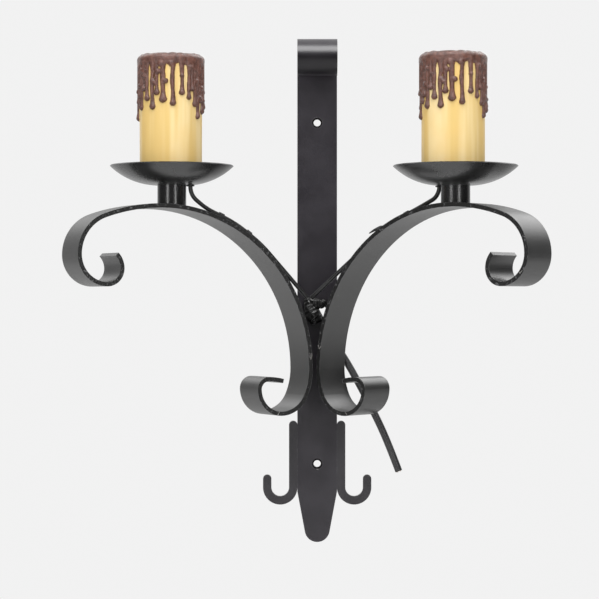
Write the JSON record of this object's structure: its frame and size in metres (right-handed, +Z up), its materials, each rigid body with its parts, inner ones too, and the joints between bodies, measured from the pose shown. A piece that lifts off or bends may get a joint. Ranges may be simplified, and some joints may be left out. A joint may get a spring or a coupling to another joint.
{
  "type": "wall sconce candle holder",
  "caption": "Wall sconce of black flat iron with scroll arms, drip pans, candle-style lamp covers, J hooks and a short supply cord.",
  "frame": {"origin": "on the back face of the strap, midway between its two screw holes", "axes": "+X right as seen from the room, +Y into the wall, +Z up"},
  "size_m": [0.4411, 0.1926, 0.4822],
  "materials": {
    "black_iron": "satin black paint over hot-bent flat bar",
    "black_pan": "satin black paint on pressed sheet",
    "weld_black": "painted weld bead",
    "raw_steel": "turned steel",
    "zinc_steel": "zinc plated",
    "socket_phenolic": "moulded phenolic",
    "brass_shell": "pressed brass",
    "candle_resin": "amber wax look with brown drips",
    "bushing_rubber": "moulded rubber",
    "lead_black": "satin sleeving",
    "clip_black": "satin nylon",
    "heat_shrink": "shrunk sleeve",
    "cord_black": "satin extruded jacket"
  },
  "bodies": {
    "frame": {"strap": "black_iron", "left_hook": "black_iron", "right_hook": "black_iron", "left_scroll_arm": "black_iron", "right_scroll_arm": "black_iron", "arm_welds": "weld_black", "hook_welds": "weld_black", "splice_sleeve": "heat_shrink", "supply_cord": "cord_black", "left_neck_tube": "black_iron", "left_neck_plug": "raw_steel", "left_threaded_nipple": "zinc_steel", "left_drip_pan": "black_pan", "left_pan_nut": "zinc_steel", "left_socket_bracket": "zinc_steel", "left_socket_body": "socket_phenolic", "left_screw_shell": "brass_shell", "left_centre_contact": "brass_shell", "left_lead_bushing": "bushing_rubber", "left_lead": "lead_black", "left_lead_clips": "clip_black", "right_neck_tube": "black_iron", "right_neck_plug": "raw_steel", "right_threaded_nipple": "zinc_steel", "right_drip_pan": "black_pan", "right_pan_nut": "zinc_steel", "right_socket_bracket": "zinc_steel", "right_socket_body": "socket_phenolic", "right_screw_shell": "brass_shell", "right_centre_contact": "brass_shell", "right_lead_bushing": "bushing_rubber", "right_lead": "lead_black", "right_lead_clips": "clip_black"},
    "left_candle": {"left_candle_cover": "candle_resin"},
    "right_candle": {"right_candle_cover": "candle_resin"}
  },
  "joints": [
    {"name": "left_candle_lift", "type": "slide", "parent": "frame", "child": "left_candle", "axis": [0, 0, 1], "range_m": [0, 0.13]},
    {"name": "right_candle_lift", "type": "slide", "parent": "frame", "child": "right_candle", "axis": [0, 0, 1], "range_m": [0, 0.13]}
  ]
}
